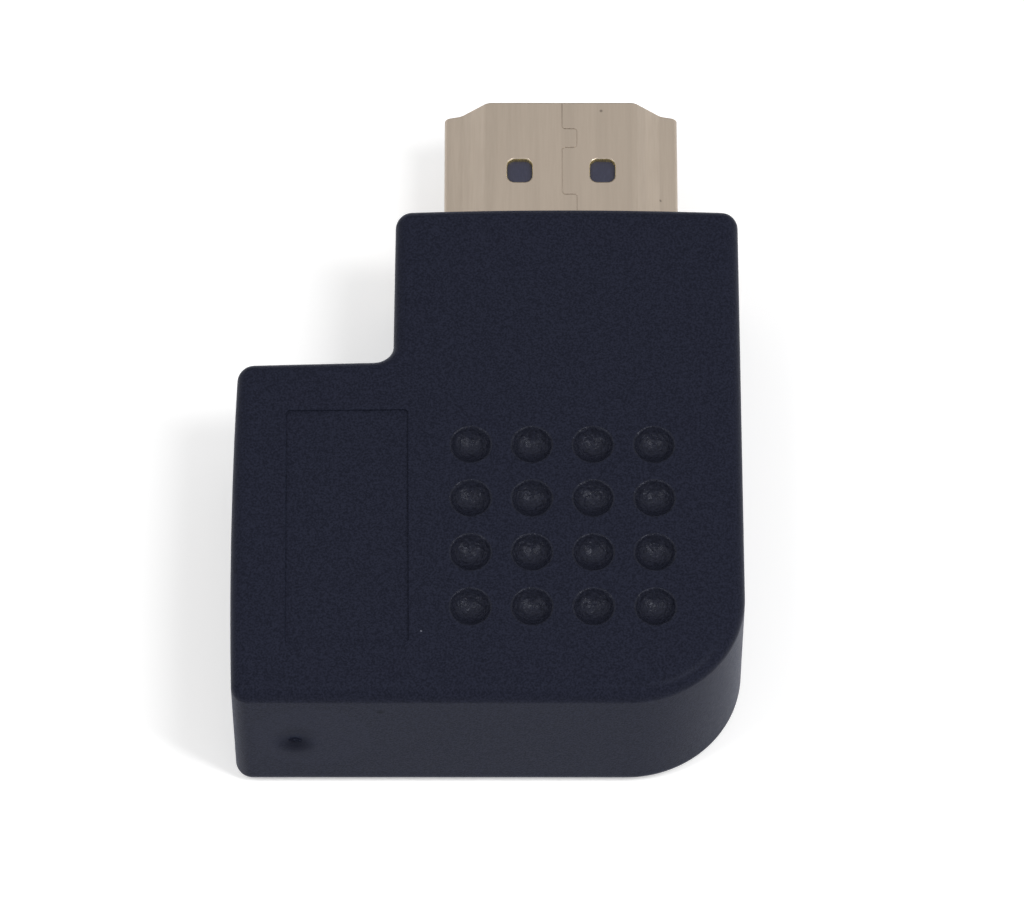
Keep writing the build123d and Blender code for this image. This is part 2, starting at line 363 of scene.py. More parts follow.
def round_corner(place, radius, segments):
    """Rounds the vertex of a flat outline at a place with an arc of the radius."""
    corner = Vector((*place, 0))
    choose("verts", lambda vertex: close((vertex.co - corner).length, 0))
    drawn = bmesh.from_edit_mesh(bpy.context.edit_object.data)
    vertex = next(v for v in drawn.verts if v.select)
    before, after = [(edge.other_vert(vertex).co - vertex.co).normalized() for edge in vertex.link_edges]
    turn = math.pi - before.angle(after)
    bpy.ops.mesh.bevel(
        affect="VERTICES", offset=radius * math.tan(turn / 2), segments=segments, clamp_overlap=False
    )


def extrude_face(step):
    """Extrudes the whole flat face along a step and turns the skin the right way out."""
    bpy.ops.mesh.select_mode(type="FACE")
    with_all(bpy.ops.mesh.extrude_region_move, TRANSFORM_OT_translate={"value": step})
    with_all(bpy.ops.mesh.normals_make_consistent, inside=False)


def combine(piece, other, operation="DIFFERENCE"):
    """Exact boolean of two solids. The other one is used up."""
    select_only(piece)
    bpy.ops.object.modifier_add(type="BOOLEAN")
    step = piece.modifiers[-1]
    step.operation = operation
    step.solver = "EXACT"
    step.object = other
    bpy.ops.object.modifier_apply(modifier=step.name)
    bpy.data.objects.remove(other)


def join(pieces):
    """Joins solids that don't touch into the first of them."""
    bpy.ops.object.select_all(action="DESELECT")
    for piece in pieces:
        piece.select_set(True)
    bpy.context.view_layer.objects.active = pieces[0]
    bpy.ops.object.join()
    return pieces[0]


def seat(piece, place):
    """Carries a piece drawn at the origin to its seat, and puts that place in its mesh."""
    select_only(piece)
    piece.matrix_world = place
    bpy.ops.object.transform_apply(location=True, rotation=True, scale=True)
    return piece


def smooth(piece, degrees):
    """Smooth shading over the edges that turn by less, with flat faces kept flat."""
    select_only(piece)
    bpy.ops.object.shade_smooth_by_angle(angle=math.radians(degrees))
    bpy.ops.object.modifier_add(type="WEIGHTED_NORMAL")
    weighted = piece.modifiers[-1]
    weighted.keep_sharp = True
    weighted.weight = 100
    bpy.ops.object.modifier_apply(modifier=weighted.name)


# Moulded body


def body_places(sizes, inset):
    """Corners of the L seen from above, pulled in by inset, anticlockwise from the front left."""
    left = body_low.x + inset
    right = body_low.x + sizes.width - inset
    front = body_low.y + inset
    end = body_high.y - inset
    step_x = body_low.x + sizes.width - sizes.plug_arm + inset
    step_y = body_low.y + sizes.socket_arm - inset
    return {
        "front_left": (left + sizes.crown, front),
        "elbow": (right, front),
        "end_right": (right - sizes.taper, end - sizes.crown),
        "end_left": (step_x + sizes.taper, end - sizes.crown),
        "notch": (step_x, step_y + sizes.notch_rise),
        "far_left": (left + sizes.crown, step_y),
    }


def draw_body(name, sizes, inset, low, high):
    """The L between two heights, with its elbow and notch rounded and its arm ends bowed."""
    places = body_places(sizes, inset)
    names = list(places)
    crowns = [(names.index(corner), sizes.crown) for corner in ("end_right", "far_left")]
    piece = draw_outline(name, list(places.values()), crowns)
    round_corner(places["elbow"], sizes.elbow - inset, 32)
    round_corner(places["notch"], sizes.notch + inset, 16)
    with_all(bpy.ops.transform.translate, value=(0, 0, low))
    extrude_face((0, 0, high - low))
    return piece


def round_body_edges(sizes):
    """Rounds both rims and the four tight upright corners in one go, so that they meet in spheres."""
    places = body_places(sizes, 0.0)
    tight = [Vector(places[name]) for name in ("front_left", "end_right", "end_left", "far_left")]

    def outer_edge(edge):
        a, b = (vertex.co for vertex in edge.verts)
        return close(a.z, b.z) or any(close((a.xy - corner).length, 0) for corner in tight)

    bevel_edges(outer_edge, sizes.edge, 10)


def bowl_cutter(name, radius, wall, lip, point=0.0, cone=0.0):
    """Bowl that points down from the origin, with a rounded lip that flares out.

    It is cut from a ball, but for a cone of the slope point and the radius cone at its bottom. Past
    the lip it goes on outwards at a slight rise, clear of the surface.
    """
    flare = wall / 12
    run = 0.3 * MM
    mouth = radius - lip * math.sin(wall)
    ball = (mouth - cone) / (math.sin(wall) - math.sin(point))
    middle = Vector((mouth - ball * math.sin(wall), 0, ball * math.cos(wall) - lip * (1 - math.cos(wall))))
    bottom = middle.z - ball * math.cos(point)
    tip = Vector((0, 0, bottom - cone * math.tan(point)))
    piece = draw_point(name, tip)
    if cone:
        draw_line(Vector((cone, 0, bottom)) - tip)
    draw_arc(middle, (0, -1, 0), wall - point, 14)
    draw_arc((radius, 0, -lip), (0, -1, 0), flare - wall, 8)
    draw_line((run, 0, run * math.tan(flare)))
    bpy.ops.mesh.select_all(action="SELECT")
    draw_arc((0, 0, 0), (0, 0, 1), 2 * math.pi, 72)
    with_all(bpy.ops.mesh.remove_doubles, threshold=0.001 * MM)
    choose("edges", lambda edge: edge.is_boundary)
    bpy.ops.mesh.edge_face_add()
    with_all(bpy.ops.mesh.normals_make_consistent, inside=False)
    leave_edit()
    return piece


def dimple_cutters(sizes):
    """Grip dimples in a square grid over the crossing of the two arms."""
    first = bowl_cutter(
        "dimples",
        sizes.dimple / 2,
        sizes.dimple_wall,
        sizes.dimple_lip,
        sizes.dimple_point,
        sizes.dimple_cone,
    )
    steps = [(row - (sizes.dimple_rows - 1) / 2) * sizes.dimple_pitch for row in range(sizes.dimple_rows)]
    made = []
    for up in steps:
        for across in steps:
            dimple = first.copy()
            dimple.data = first.data.copy()
            bpy.context.collection.objects.link(dimple)
            place = (plug_axis.x + across, socket_axis.y + up, body_high.z)
            made.append(seat(dimple, Matrix.Translation(place)))
    bpy.data.objects.remove(first)
    return join(made)


def label_cutter(sizes):
    """Flat block with rounded corners, a hair out of square as the mould has it."""
    above = 0.5 * MM
    height = sizes.label_depth + above
    place = Vector((body_low.x + sizes.label_from_end, body_low.y + sizes.label_from_front, body_high.z))
    lengths = (sizes.label_width, sizes.label_length, height)
    piece = add_block("label", lengths, (0, 0, above - height / 2))

    def floor_edge(edge):
        return all(close(vertex.co.z, -sizes.label_depth) for vertex in edge.verts)

    bevel_edges(lambda edge: not close(edge.verts[0].co.z, edge.verts[1].co.z), sizes.label_radius, 6)
    bevel_edges(floor_edge, sizes.label_ease, 2)
    leave_edit()
    return seat(piece, Matrix.Translation(place) @ Matrix.Rotation(sizes.label_turn, 4, "Z"))


def gate_seat(sizes):
    """The gate mark's place on the front, with its axis out of the front face."""
    middle = (body_low.z + body_high.z) / 2
    place = Vector((body_low.x + sizes.gate_from_end, body_low.y, middle - sizes.gate_drop))
    return Matrix.Translation(place) @ Matrix.Rotation(math.radians(90), 4, "X")


def gate_stub(sizes):
    """Torn end of the sprue in the middle of the dish, wider than it is high."""
    piece = add(
        bpy.ops.mesh.primitive_cone_add,
        "gate_stub",
        vertices=24,
        radius1=sizes.stub_foot,
        radius2=sizes.stub_top,
        depth=sizes.stub_height,
        location=(0, 0, -sizes.stub_depth),
    )
    # Two rings on its top give the tear more points to scatter
    choose("faces", lambda face: face.normal.z > 0.9)
    for ring in (0.07 * MM, 0.06 * MM):
        bpy.ops.mesh.inset(thickness=ring)
    with_all(bpy.ops.transform.resize, value=(1.5, 0.8, 1), center_override=(0, 0, 0))
    bpy.ops.transform.vertex_random(offset=sizes.stub_tear, seed=7)
    leave_edit()
    return seat(piece, gate_seat(sizes))


# Folded shells


def mitre(before, after):
    """How far a corner between two ways moves when both its sides move a unit to their right."""
    out_before = Vector((before.y, -before.x))
    out_after = Vector((after.y, -after.x))
    return (out_before + out_after) / (1 + out_before.dot(out_after))


def d_corners(shells, grow):
    """Corners of the plug outline, narrow side up, moved out by grow, each with its radius."""
    side = (plug_high.x - plug_low.x) / 2
    waist_x = shells.narrow / 2 + shells.facet
    waist_y = plug_top - shells.facet
    right = [
        (side, -plug_top, shells.shoulder_radius + grow),
        (side, waist_y - shells.shoulder, shells.shoulder_radius + grow),
        (waist_x, waist_y, shells.waist_radius - grow),
        (shells.narrow / 2, plug_top, shells.facet_radius + grow),
    ]
    corners = right + [(-x, y, radius) for x, y, radius in reversed(right)]
    moved = []
    for index, (x, y, radius) in enumerate(corners):
        here = Vector((x, y))
        before = (here - Vector(corners[index - 1][:2])).normalized()
        after = (Vector(corners[(index + 1) % len(corners)][:2]) - here).normalized()
        moved.append((tuple(here + mitre(before, after) * grow), radius))
    return moved


def draw_d(name, shells, grow, start):
    """The plug outline as one flat face at a station, in edit mode."""
    corners = d_corners(shells, grow)
    piece = draw_outline(name, [place for place, _ in corners])
    for place, radius in corners:
        round_corner(place, radius, 8)
    with_all(bpy.ops.transform.translate, value=(0, 0, start))
    return piece


def d_prism(name, shells, grow, start, end):
    """Solid D between two stations, at the origin."""
    piece = draw_d(name, shells, grow, start)
    extrude_face((0, 0, end - start))
    leave_edit()
    return piece


def d_tube(name, shells, grow, start, end, ease):
    """Folded D between two stations: the sheet lies inside the outline, its mouth edges eased."""
    piece = draw_d(name, shells, grow, start)
    bpy.ops.mesh.select_mode(type="FACE")
    with_all(bpy.ops.mesh.inset, thickness=shells.sheet, use_even_offset=True)
    bpy.ops.mesh.delete(type="FACE")
    extrude_face((0, 0, end - start))

    def mouth_rim(edge):
        if not all(close(v.co.z, end) for v in edge.verts):
            return False
        return any(abs(face.normal.z) < 0.5 for face in edge.link_faces)

    bevel_edges(mouth_rim, ease, 3)
    leave_edit()
    return piece


def window_cutter(shells, x, station):
    """Block with rounded corners that goes through both flats of the shell."""
    through = 8 * MM
    lengths = (shells.window_width, through, shells.window_length)
    piece = add_block("window", lengths, (x, 0, station))
    bevel_edges(lambda edge: not close(edge.verts[0].co.y, edge.verts[1].co.y), shells.window_radius, 8)
    leave_edit()
    return piece


def draw_strip(name, line, width, radius):
    """Flat strip of a width along a bent line, with its bends rounded, in edit mode."""
    ways = [(there - here).normalized() for here, there in zip(line, line[1:])]
    right = []
    left = []
    for here, before, after in zip(line, ways[:1] + ways, ways + ways[-1:]):
        shift = mitre(before, after) * width / 2
        bend = math.copysign(width / 2, before.cross(after))
        right.append((tuple(here + shift), radius + bend))
        left.append((tuple(here - shift), radius - bend))
    piece = draw_outline(name, [place for place, _ in right + left[::-1]])
    for place, bend_radius in right[1:-1] + left[1:-1]:
        round_corner(place, bend_radius, 6)
    return piece


def seam_cutter(shells):
    """Stepped curtain into the narrow side, where the two folded ends of the sheet interlock."""
    over = 0.4 * MM
    near = -shells.seam_offset
    far = near - shells.seam_step
    sides = [near, far, near, far]
    line = [Vector((near, plug_tip + over))]
    for turn, here, there in zip(shells.seam_turns, sides, sides[1:]):
        line += [Vector((here, plug_tip - turn)), Vector((there, plug_tip - turn))]
    line.append(Vector((sides[-1], plug_back - over)))
    piece = draw_strip("seam", line[::-1], shells.seam_gap, shells.seam_bend)
    extrude_face((0, 0, shells.seam_depth + over))
    leave_edit()
    stand = Matrix.Translation((0, plug_top + over, 0)) @ Matrix.Rotation(math.radians(90), 4, "X")
    return seat(piece, stand)


def ease_cut_edges(piece, here, offset, segments):
    """Rounds the edges that the cuts left on the outer flats of a shell, where here(x) holds."""
    enter_edit(piece)

    def cut_edge(edge):
        if not all(close(abs(v.co.y), plug_top, 0.003 * MM) and here(v.co.x) for v in edge.verts):
            return False
        normals = [abs(face.normal.y) for face in edge.link_faces]
        return len(normals) == 2 and max(normals) > 0.9 and min(normals) < 0.3

    bevel_edges(cut_edge, offset, segments)
    leave_edit()


def latch_finger(shells, grow, side, x, station):
    """Spring tongue of the socket: rooted at the rear, it dips inwards and its nose lifts again."""
    overlap = 0.1 * MM
    top = plug_top + grow - shells.sheet / 2
    root = station - shells.finger_length
    bend = top - shells.finger_dip
    line = [
        Vector((root - overlap, side * top)),
        Vector((root + shells.finger_root, side * top)),
        Vector((station, side * bend)),
        Vector((station + shells.finger_nose, side * (bend + shells.finger_lift))),
    ]
    piece = draw_strip("finger", line, shells.sheet, shells.finger_bend)
    extrude_face((0, 0, shells.finger_width))
    leave_edit()
    right = x + shells.finger_width / 2
    return seat(piece, Matrix(((0, 0, -1, right), (0, 1, 0, 0), (1, 0, 0, 0), (0, 0, 0, 1))))


def slit_cutter(shells, grow, side, x, station):
    """Clears the sheet round one latch finger."""
    top = plug_top + grow - shells.sheet / 2
    low = station - shells.finger_length
    high = station + shells.finger_nose + shells.finger_slit
    lengths = (shells.finger_width + 2 * shells.finger_slit, 2 * shells.sheet, high - low)
    piece = add_block("slit", lengths, (x, side * top, (low + high) / 2))
    leave_edit()
    return piece


class ADAPTER_OT_body(bpy.types.Operator):
    """Model the moulded body with its dimples, label field, gate mark and two mouths"""

    bl_idname = "adapter.body"
    bl_label = "Moulded body"

    def execute(self, context):
        sizes = context.scene.adapter_body
        shells = context.scene.adapter_shells
        body = draw_body("moulded_body", sizes, 0.0, body_low.z, body_high.z)
        round_body_edges(sizes)
        leave_edit()
        cavity = draw_body("cavity", sizes, sizes.wall, body_low.z + sizes.wall, body_high.z - sizes.wall)
        leave_edit()
        combine(body, cavity)
        round_plug = shells.clearance + shells.sheet
        for grow, back, place in ((0.0, plug_back, plug_seat), (round_plug, socket_back, socket_seat)):
            mouth = d_prism("mouth", shells, grow + sizes.mouth_gap, back, sizes.wall)
            combine(body, seat(mouth, place))
        combine(body, dimple_cutters(sizes))
        combine(body, label_cutter(sizes))
        dish = bowl_cutter("gate_dish", sizes.gate / 2, sizes.gate_wall, sizes.gate_lip)
        combine(body, seat(dish, gate_seat(sizes)))
        combine(body, gate_stub(sizes), "UNION")
        smooth(body, degrees=30)
        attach(body, BODY)
        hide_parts("housing")
        return {"FINISHED"}


class ADAPTER_OT_plug_shell(bpy.types.Operator):
    """Model the folded shell of the plug with its windows and interlocking seam"""

    bl_idname = "adapter.plug_shell"
    bl_label = "Plug shell"

    def execute(self, context):
        shells = context.scene.adapter_shells
        station = plug_tip - shells.window_from_tip
        shell = d_tube("folded_plug_shell", shells, 0.0, plug_back, plug_tip, shells.plug_ease)
        for side in (-1, 1):
            combine(shell, window_cutter(shells, side * shells.window_spacing / 2, station))
        combine(shell, seam_cutter(shells))
        between = shells.window_spacing / 4
        ease_cut_edges(shell, lambda x: abs(x) > between, shells.window_lip, 4)
        ease_cut_edges(shell, lambda x: abs(x) < between, shells.seam_lip, 2)
        seat(shell, plug_seat)
        smooth(shell, degrees=40)
        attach(shell, BODY)
        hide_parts("plug_shell")
        return {"FINISHED"}


class ADAPTER_OT_socket_shell(bpy.types.Operator):
    """Model the folded shell of the socket with its four latch fingers"""

    bl_idname = "adapter.socket_shell"
    bl_label = "Socket shell"

    def execute(self, context):
        shells = context.scene.adapter_shells
        grow = shells.clearance + shells.sheet
        station = shells.window_from_tip - plug_tip
        shell = d_tube("folded_socket_shell", shells, grow, socket_back, socket_front, shells.socket_ease)
        places = [(side, across * shells.window_spacing / 2) for side in (-1, 1) for across in (-1, 1)]
        for side, x in places:
            combine(shell, slit_cutter(shells, grow, side, x, station))
        for side, x in places:
            combine(shell, latch_finger(shells, grow, side, x, station), "UNION")
        seat(shell, socket_seat)
        smooth(shell, degrees=35)
        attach(shell, BODY)
        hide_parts("socket_shell")
        return {"FINISHED"}


# Materials

# The stretch of a noise's values that is spread over a whole pattern: wider is softer, higher sparser
SOFT = (0.3, 0.7)
SPARSE = (0.45, 0.75)


def add_node(tree, kind, inputs=(), **settings):
    """Adds a node with its settings; an input is a value, a socket, or a node's first open output."""
    made = tree.nodes.new(kind)
    for name, value in settings.items():
        setattr(made, name, value)
    for socket, value in dict(inputs).items():
        if isinstance(value, bpy.types.Node):
            value = next(output for output in value.outputs if output.enabled)
        if isinstance(value, bpy.types.NodeSocket):
            tree.links.new(value, made.inputs[socket])
        else:
            made.inputs[socket].default_value = value
    return made


def empty_tree(owner):
    """The node tree of a material or a world, emptied."""
    owner.use_nodes = True
    owner.node_tree.nodes.clear()
    return owner.node_tree


def start_material(name):
    """A new material, its empty tree, and its object coordinates."""
    material = bpy.data.materials.new(name)
    tree = empty_tree(material)
    place = add_node(tree, "ShaderNodeTexCoord").outputs["Object"]
    return material, tree, place


def close_material(material, tone, relief, **inputs):
    """Gives a material its shader, with the other inputs named with underscores, and its output."""
    named = {name.replace("_", " "): value for name, value in inputs.items()}
    named.update({"Base Color": tone, "Normal": relief})
    shader = add_node(material.node_tree, "ShaderNodeBsdfPrincipled", named)
    add_node(material.node_tree, "ShaderNodeOutputMaterial", {"Surface": shader})
    return material


def shade(three, factor=1.0):
    """A colour made lighter or darker, with full alpha."""
    return (*(min(1.0, c * factor) for c in three[:3]), 1.0)


def blobs(tree, place, across, low=0.0, high=1.0, span=(0.35, 0.65), detail=2.0):
    """Soft blobs about as wide as across, in metres, as a value that runs from low to high."""
    drawn = add_node(tree, "ShaderNodeTexNoise", {"Vector": place, "Scale": 1 / across, "Detail": detail})
    return add_node(
        tree,
        "ShaderNodeMapRange",
        {"Value": drawn, "From Min": span[0], "From Max": span[1], "To Min": low, "To Max": high},
        interpolation_type="SMOOTHSTEP",
    )


def spot(tree, place, middle, inner, outer, depth=1.0):
    """A soft spot, its radii in millimetres: depth out to the inner one, 0 from the outer one on."""
    away = add_node(tree, "ShaderNodeVectorMath", {0: place, 1: middle}, operation="DISTANCE")
    ends = {"From Min": inner * MM, "From Max": outer * MM, "To Min": depth, "To Max": 0.0}
    return add_node(tree, "ShaderNodeMapRange", {"Value": away, **ends}, interpolation_type="SMOOTHSTEP")


def mark(tree, place, tone, marks):
    """Lays soft round marks over a tone, each with its middle, two radii, depth and tint."""
    for *extent, tint in marks:
        covered = spot(tree, place, *extent)
        tone = add_node(tree, "ShaderNodeMix", {"Factor": covered, "A": tone, "B": tint}, data_type="RGBA")
    return tone


def grained(tree, pattern, tint, dark, light, **bump):
    """A tint that runs from dark to light over a pattern, and the relief that the pattern gives."""
    ends = {"A": shade(tint, dark), "B": shade(tint, light)}
    tone = add_node(tree, "ShaderNodeMix", {"Factor": pattern, **ends}, data_type="RGBA")
    return tone, add_node(tree, "ShaderNodeBump", {"Height": pattern, **bump})


def black_pvc(finishes, gate):
    """Soft black PVC, moulded against a finely blasted steel mould.

    The eye gets a deep blue-black with a dull, even sheen and a fine grain, a faint paler disc round
    the gate and a dark one in it, a few specks of dust that cling to the top, and one smudge.
    """
    material, tree, place = start_material("blasted_black_pvc")
    # The blasted grain is finer than a pixel, so it is drawn as coarse as two pixels. It is raised
    # a little, so that the top and the label field cut it where it is equally strong.
    raised = add_node(tree, "ShaderNodeMapping", {"Vector": place, "Location": (0, 0, 0.075 * MM)})
    grain = blobs(tree, raised, 0.11 * MM, span=SOFT, detail=3.0)
    tone, relief = grained(tree, grain, finishes.pvc, 0.68, 1.32, Strength=0.6, Distance=0.006 * MM)
    even = blobs(tree, place, 0.3 * MM, 0.34, 0.38)
    torn = {"Factor": spot(tree, place, gate, 0.3, 1.7), "A": even, "B": 0.62}
    gloss = add_node(tree, "ShaderNodeMix", torn, data_type="FLOAT")
    paler = shade(finishes.pvc, 1.5)
    darker = shade(finishes.pvc, 0.3)
    marks = [
        (gate + Vector((0.97, 0, 0.64)) * MM, 3.2, 3.7, 0.25, paler),
        (gate, 0.3, 1.5, 0.25, darker),
        (gate + Vector((0.1, 0, 0.85)) * MM, 0.2, 1.5, 0.5, darker),
        (gate + Vector((0.2, 0, -0.85)) * MM, 0.2, 1.5, 0.4, darker),
        (Vector((-6.09 * MM, body_low.y, 9.0 * MM)), 0.1, 0.3, 0.8, darker),
    ]
    specks = [
        (-9.0, -5.42, 0.09, 0.8),
        (-9.25, -16.86, 0.08, 0.7),
        (-4.57, -16.09, 0.07, 0.7),
        (-3.77, -16.6, 0.08, 0.8),
    ]
    for x, y, outer, depth in specks:
        middle = Vector((x * MM, y * MM, body_high.z))
        marks.append((middle, 0.03, outer, depth, shade(finishes.dust)))
    return close_material(
        material,
        mark(tree, place, tone, marks),
        relief,
        Roughness=gloss,
        IOR=1.53,
        Specular_IOR_Level=0.026,
        Specular_Tint=shade((0.78, 0.82, 1.0)),
        Sheen_Weight=0.06,
        Sheen_Roughness=0.35,
        Sheen_Tint=shade((0.25, 0.4, 1.0)),
    )


def eroded_pvc_painted_shade(finishes):
    """The same PVC where the mould was spark eroded, in the dimples.

    The eye gets tiny pits and torn ridges that break each highlight into crumbs, over a tint darker than
    the blasted PVC that is painted shade in the dimples.
    """
    material, tree, place = start_material("spark_eroded_black_pvc")
    ridges = blobs(tree, place, 0.32 * MM)
    torn = add_node(tree, "ShaderNodeBump", {"Height": ridges, "Strength": 0.6, "Distance": 0.04 * MM})
    pits = blobs(tree, place, 0.13 * MM, span=SOFT, detail=4.0)
    # The pits run from 0.55 to 1.05 of the PVC tint, darker than the top: grain with painted shade
    tone, relief = grained(
        tree, pits, finishes.pvc, 0.55, 1.05, Strength=0.5, Distance=0.01 * MM, Normal=torn
    )
    return close_material(
        material,
        tone,
        relief,
        Roughness=blobs(tree, place, 0.2 * MM, 0.26, 0.42),
        IOR=1.53,
        Specular_IOR_Level=0.12,
        Specular_Tint=shade((0.85, 0.88, 1.0)),
    )


def pale_gold(finishes):
    """Thin gold over nickel on drawn steel sheet.

    The eye gets a pale champagne metal with soft streaks along the way that the sheet was drawn, and
    two tiny stains.
    """
    material, tree, place = start_material("gold_flashed_sheet")
    gold = finishes.gold
    wide = add_node(tree, "ShaderNodeMapping", {"Vector": place, "Scale": (1, 0.03, 0.3)})
    bands = {"Factor": blobs(tree, wide, 0.9 * MM), "A": shade(gold, 0.96), "B": shade(gold, 1.03)}
    tone = add_node(tree, "ShaderNodeMix", bands, data_type="RGBA")
    along = add_node(tree, "ShaderNodeMapping", {"Vector": place, "Scale": (1, 0.06, 1)})
    lines = blobs(tree, along, 0.12 * MM, span=SOFT, detail=3.0)
    faint = add_node(tree, "ShaderNodeMath", {0: lines, 1: 0.1}, operation="MULTIPLY")
    streaks = {"Factor": faint, "A": tone, "B": shade(gold, 0.88)}
    tone = add_node(tree, "ShaderNodeMix", streaks, data_type="RGBA")
    places = [Vector((6.7, 20.15, 7.72)), Vector((10.2, 14.8, 6.2))]
    stains = [(middle * MM, 0.04, 0.13, 0.7, shade(gold, 0.3)) for middle in places]
    gloss = blobs(tree, along, 0.12 * MM, 0.34, 0.46, span=SOFT, detail=3.0)
    relief = add_node(tree, "ShaderNodeBump", {"Height": lines, "Strength": 0.2, "Distance": 0.003 * MM})
    tone = mark(tree, place, tone, stains)
    return close_material(material, tone, relief, Metallic=1.0, Roughness=gloss)


def sheared_edge_painted_glint(finishes):
    """Edge of the plated sheet where the windows were punched.

    The eye gets a brighter, yellower rim, torn a little across its thickness. Its colour is the bare
    sheared metal, lightened into a painted highlight that stands in for the glint the rolled lip catches.
    """
    material, tree, place = start_material("punched_sheet_edge")
    across = add_node(tree, "ShaderNodeMapping", {"Vector": place, "Scale": (1, 1, 0.15)})
    tears = blobs(tree, across, 0.05 * MM, span=SOFT)
    tone, relief = grained(tree, tears, finishes.cut_edge, 0.85, 1.0, Strength=0.4, Distance=0.004 * MM)
    gloss = blobs(tree, across, 0.05 * MM, 0.3, 0.5)
    return close_material(material, tone, relief, Metallic=1.0, Roughness=gloss)


def contact_gold(finishes):
    """Hard gold on stamped bronze strip.

    The eye gets a deeper yellow than the shell, smooth, with faint stamping lines.
    """
    material, tree, place = start_material("hard_gold_on_bronze")
    lines = blobs(tree, place, 0.08 * MM)
    tone, relief = grained(tree, lines, finishes.contact_gold, 0.85, 1.0, Strength=0.2, Distance=0.002 * MM)
    gloss = blobs(tree, place, 0.08 * MM, 0.18, 0.32)
    return close_material(material, tone, relief, Metallic=1.0, Roughness=gloss)


def glass_filled_nylon(finishes):
    """Black nylon with short glass fibres, moulded.

    The eye gets a greyer black than the PVC, with pale hair-like streaks and a satin skin.
    """
    material, tree, place = start_material("glass_filled_black_nylon")
    along = add_node(tree, "ShaderNodeMapping", {"Vector": place, "Scale": (1, 0.2, 1)})
    fibres = blobs(tree, along, 0.06 * MM, span=SPARSE, detail=3.0)
    tone, relief = grained(tree, fibres, finishes.nylon, 0.9, 1.25, Strength=0.3, Distance=0.004 * MM)
    gloss = blobs(tree, along, 0.06 * MM, 0.4, 0.55)
    return close_material(material, tone, relief, Roughness=gloss, IOR=1.53, Specular_IOR_Level=0.25)


def natural_polyethylene(finishes):
    """Natural low-density polyethylene, shot round the board at low pressure.

    The eye gets a milky, waxy white with soft clouds.
    """
    material, tree, place = start_material("natural_polyethylene")
    clouds = blobs(tree, place, 1.8 * MM)
    tone, relief = grained(tree, clouds, finishes.polyethylene, 0.92, 1.0, Strength=0.3, Distance=0.02 * MM)
    return close_material(
        material,
        tone,
        relief,
        Roughness=blobs(tree, place, 1.8 * MM, 0.4, 0.5),
        IOR=1.51,
        Subsurface_Weight=0.2,
        Subsurface_Scale=0.5 * MM,
    )


def lacquered_board(finishes):
    """Glass-fibre board under green solder lacquer.

    The eye gets a glossy green with the weave of the glass cloth just showing.
    """
    material, tree, place = start_material("lacquered_glass_fibre")
    checks = add_node(tree, "ShaderNodeTexChecker", {"Vector": place, "Scale": 1 / (0.4 * MM)})
    weave = checks.outputs["Fac"]
    tone, relief = grained(tree, weave, finishes.board, 0.9, 1.1, Strength=0.1, Distance=0.004 * MM)
    gloss = blobs(tree, place, 1.5 * MM, 0.18, 0.3)
    return close_material(material, tone, relief, Roughness=gloss, IOR=1.52)


def finish(piece, *materials):
    """Gives a piece its materials in order, in place of those it has."""
    piece.data.materials.clear()
    for material in materials:
        piece.data.materials.append(material)


def paint(piece, slot, test):
    """Gives the faces that pass a test the material in a slot."""
    enter_edit(piece)
    choose("faces", test)
    piece.active_material_index = slot
    bpy.ops.object.material_slot_assign()
    leave_edit()


class ADAPTER_OT_finishes(bpy.types.Operator):
    """Give every piece the material of the real one"""

    bl_idname = "adapter.finishes"
    bl_label = "Finishes"

    def execute(self, context):
        finishes = context.scene.adapter_finishes
        sizes = context.scene.adapter_body
        shells = context.scene.adapter_shells
        body = bpy.data.objects["moulded_body"]
        finish(body, black_pvc(finishes, gate_seat(sizes).translation), eroded_pvc_painted_shade(finishes))
        reach = (sizes.dimple_rows - 1) / 2 * sizes.dimple_pitch + sizes.dimple
        below = body_high.z - 0.004 * MM

        def in_a_dimple(face):
            middle = face.calc_center_median()
            inside = max(abs(middle.x - plug_axis.x), abs(middle.y - socket_axis.y)) < reach
            return inside and below > middle.z > body_high.z - sizes.wall / 2

        # The dimples take the eroded PVC, whose darker tint is painted shade
        paint(body, 1, in_a_dimple)

        gold = pale_gold(finishes)
        plug = bpy.data.objects["folded_plug_shell"]
        finish(plug, gold, sheared_edge_painted_glint(finishes))
        window_y = plug_high.y - shells.window_from_tip
        half_length = shells.window_length / 2 + shells.window_lip
        half_width = shells.window_width / 2 + shells.window_lip

        # The steep faces round each window take the cut edge colour, a painted highlight on the rolled lips
        def punched(face):
            middle = face.calc_center_median()
            across = abs(abs(middle.x - plug_axis.x) - shells.window_spacing / 2)
            steep = abs(face.normal.z) < 0.75
            return steep and across < half_width and abs(middle.y - window_y) < half_length

        paint(plug, 1, punched)
        finish(bpy.data.objects["folded_socket_shell"], gold)

        nylon = glass_filled_nylon(finishes)
        contact = contact_gold(finishes)
        for name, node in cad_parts.items():
            if "contact" in name:
                finish(node, contact)
            if "insulator" in name:
                finish(node, nylon)
        finish(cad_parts["inner_mould"], natural_polyethylene(finishes))
        finish(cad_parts["circuit_board"], lacquered_board(finishes))
        return {"FINISHED"}


# Stage


def soft_box(name, stage, side, power):
    """A tall soft lamp that stands on the right or the left and looks at the object."""
    x, y, z = stage.lamp_place
    place = Vector((side * x, y, z))
    bpy.ops.object.light_add(type="AREA", location=place)
    lamp = bpy.context.object
    lamp.name = lamp.data.name = name
    lamp.data.shape = "RECTANGLE"
    lamp.data.size = stage.lamp_width
    lamp.data.size_y = stage.lamp_height
    lamp.data.energy = power
    aim = Vector((0, 0, body_high.z / 2))
    lamp.rotation_euler = (place - aim).to_track_quat("Z", "Y").to_euler()


def sees_background(tree):
    """1 for the rays that see the floor and the room as the background, and 0 for the others."""
    path = add_node(tree, "ShaderNodeLightPath").outputs
    seen = path["Is Camera Ray"]
    for kind in ("Is Transmission Ray", "Is Glossy Ray"):
        seen = add_node(tree, "ShaderNodeMath", {0: seen, 1: path[kind]}, operation="MAXIMUM")
    return seen


